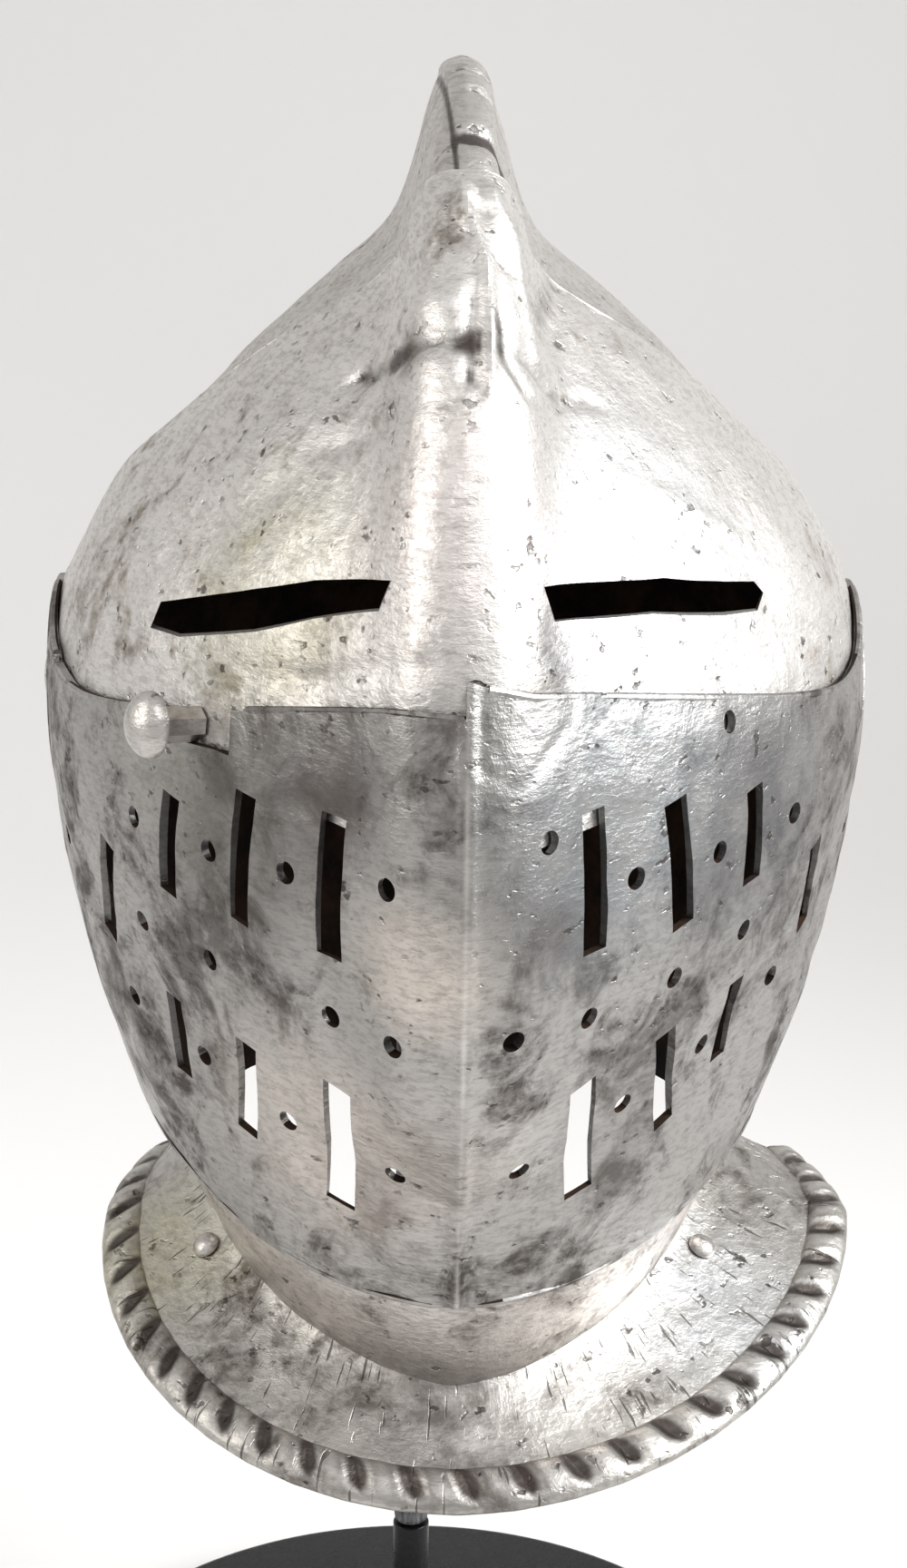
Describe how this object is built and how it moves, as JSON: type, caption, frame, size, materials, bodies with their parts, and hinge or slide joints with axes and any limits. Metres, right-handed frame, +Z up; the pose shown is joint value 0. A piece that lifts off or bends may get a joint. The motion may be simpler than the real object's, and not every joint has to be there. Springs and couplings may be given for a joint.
{
  "type": "close helmet on stand",
  "caption": "Steel close helmet with a tall comb, a visor with eye slits, a pierced ventail and a roped gorget plate, on a black disc stand.",
  "frame": {"origin": "centre of the underside of the stand's base", "axes": "+Z up, the face looks along -Y, +X is to the right as seen from in front"},
  "size_m": [0.2279, 0.3116, 0.487],
  "materials": {
    "skull_steel": "old bright steel, mottled with grey-brown pitting",
    "visor_steel": "old bright steel with a warm cast and fine file marks",
    "ventail_steel": "old bright steel, blotched with dark pitting",
    "bevor_steel": "old bright steel, lightly pitted",
    "gorget_steel": "old bright steel with radial file marks",
    "fittings_steel": "worn bright steel",
    "stand_black": "smooth black paint with a soft sheen",
    "rod_steel": "rough grey"
  },
  "bodies": {
    "skull_on_stand": {"skull": "skull_steel", "hinge_rivet_left": "fittings_steel", "hinge_rivet_right": "fittings_steel", "stand_base": "stand_black", "stand_post": "stand_black", "stand_rod": "rod_steel"},
    "bevor": {"lower_bevor": "bevor_steel", "gorget_plate": "gorget_steel", "gorget_rivet_left": "fittings_steel", "gorget_rivet_right": "fittings_steel"},
    "ventail": {"ventail": "ventail_steel"},
    "visor": {"visor": "visor_steel", "lifting_peg": "fittings_steel"}
  },
  "joints": [
    {"name": "bevor_swing", "type": "hinge", "parent": "skull_on_stand", "child": "bevor", "pos_m": [0.01, 0, 0.33], "axis": [-1, 0, 0], "range_deg": [0, 35]},
    {"name": "ventail_swing", "type": "hinge", "parent": "bevor", "child": "ventail", "pos_m": [0.01, 0, 0.33], "axis": [-1, 0, 0], "range_deg": [0, 20]},
    {"name": "visor_swing", "type": "hinge", "parent": "ventail", "child": "visor", "pos_m": [0.01, 0, 0.33], "axis": [-1, 0, 0], "range_deg": [0, 40]}
  ]
}
